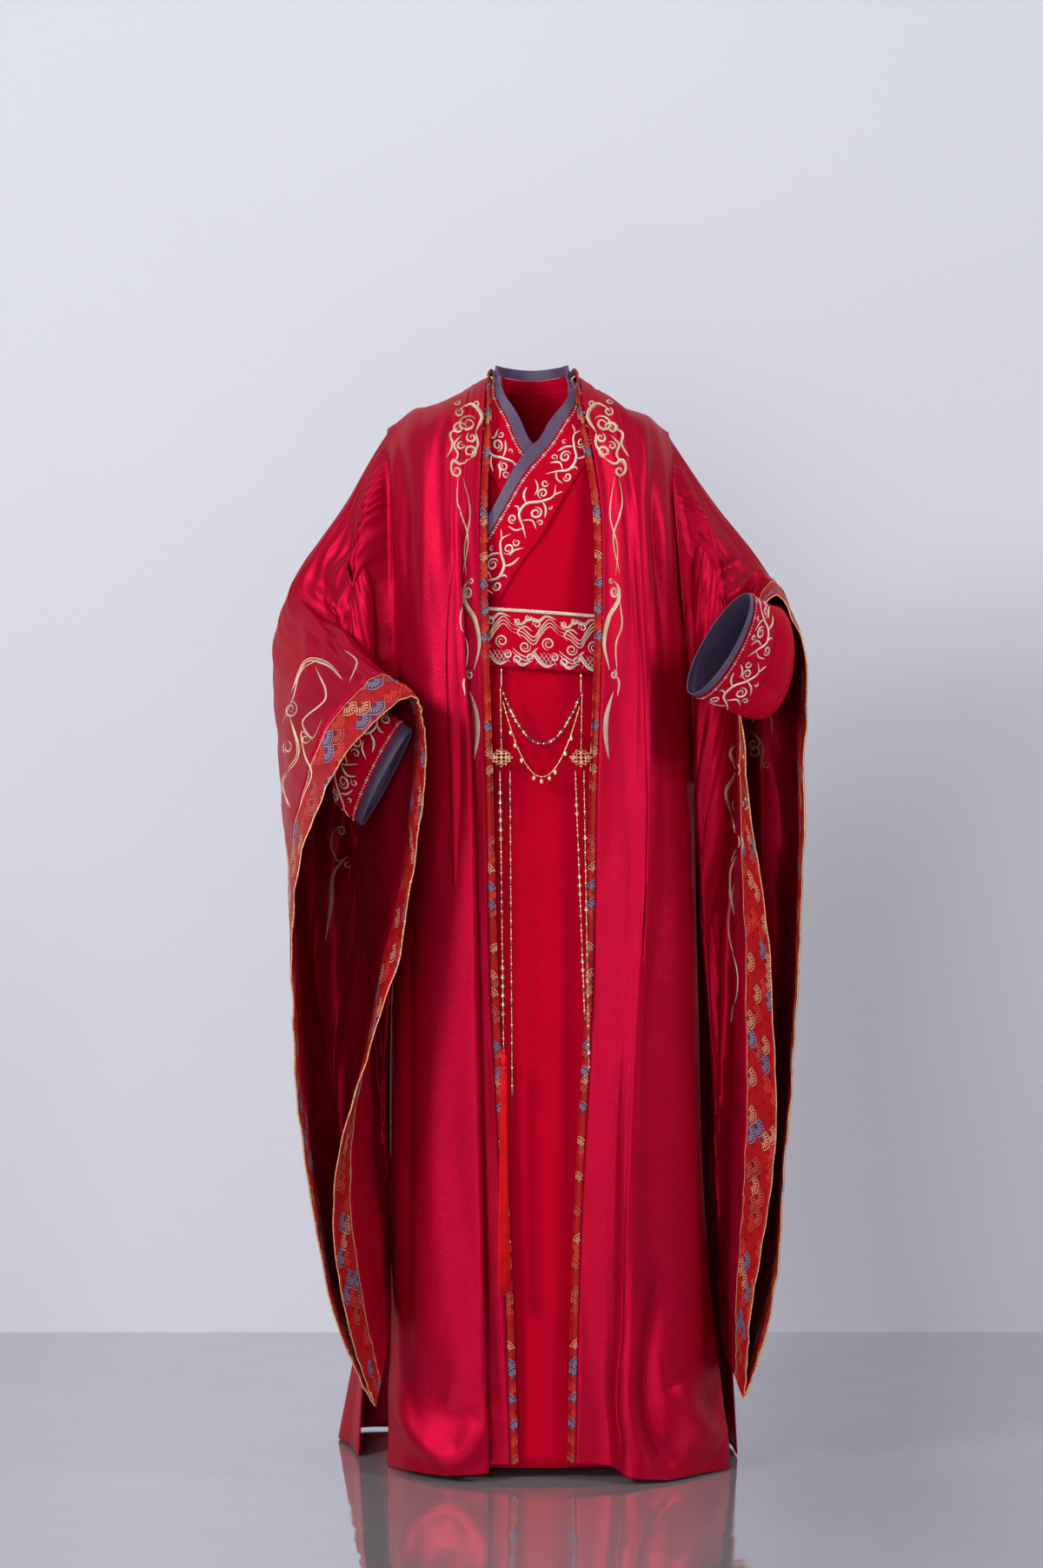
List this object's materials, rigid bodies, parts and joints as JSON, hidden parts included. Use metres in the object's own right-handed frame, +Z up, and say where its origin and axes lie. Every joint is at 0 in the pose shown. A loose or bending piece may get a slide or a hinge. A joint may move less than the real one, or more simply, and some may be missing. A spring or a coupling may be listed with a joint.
{
  "type": "hanfu robe set with belt and waist chains",
  "caption": "Worn hanfu set: open satin outer robe with very wide brocade-bordered sleeves over a cross-collar robe, with belt, hanging waist chains and tassel.",
  "frame": {"origin": "middle of the neck at the height of the shoulder points, where the wearer holds the garment", "axes": "+Z up, -Y the front of the garment, +X the viewer's right (the wearer's left)"},
  "size_m": [0.7575, 0.5552, 1.5814],
  "materials": {
    "satin": "crimson satin with a fine crepe grain, glossy in its folds",
    "crimson": "matt crimson wool-like twill",
    "embroidered_crimson": "matt crimson cloth under raised cream embroidery",
    "brocade": "red-orange brocade woven with fans in gold, cream and violet",
    "purple_edge": "dark purple satin",
    "embroidery": "raised champagne silk and metal thread",
    "cream_rope": "twisted cream cord",
    "tassel_red": "bright red silk threads",
    "gold": "polished gold-coloured metal"
  },
  "bodies": {
    "root": {"belt": "embroidered_crimson", "belt_rope": "cream_rope", "collar": "embroidered_crimson", "collar_edge": "purple_edge", "cuff_band_left": "embroidered_crimson", "cuff_band_right": "embroidered_crimson", "cuff_lining_left": "purple_edge", "cuff_lining_right": "purple_edge", "filigree_left": "gold", "filigree_right": "gold", "hanger_left": "gold", "hanger_right": "gold", "hook_left": "gold", "hook_right": "gold", "inner_back": "crimson", "inner_front_over": "crimson", "inner_front_under": "crimson", "inner_sleeve_left": "crimson", "inner_sleeve_right": "crimson", "outer_band_left": "brocade", "outer_band_right": "brocade", "outer_body_left": "satin", "outer_body_right": "satin", "outer_sleeve_left": "satin", "outer_sleeve_right": "satin", "sleeve_border_left": "brocade", "sleeve_border_right": "brocade", "strand_left_inner": "gold", "strand_left_outer": "gold", "strand_right_inner": "gold", "strand_right_outer": "gold", "swag_lower": "gold", "swag_upper": "gold", "tassel": "tassel_red"}
  },
  "joints": []
}
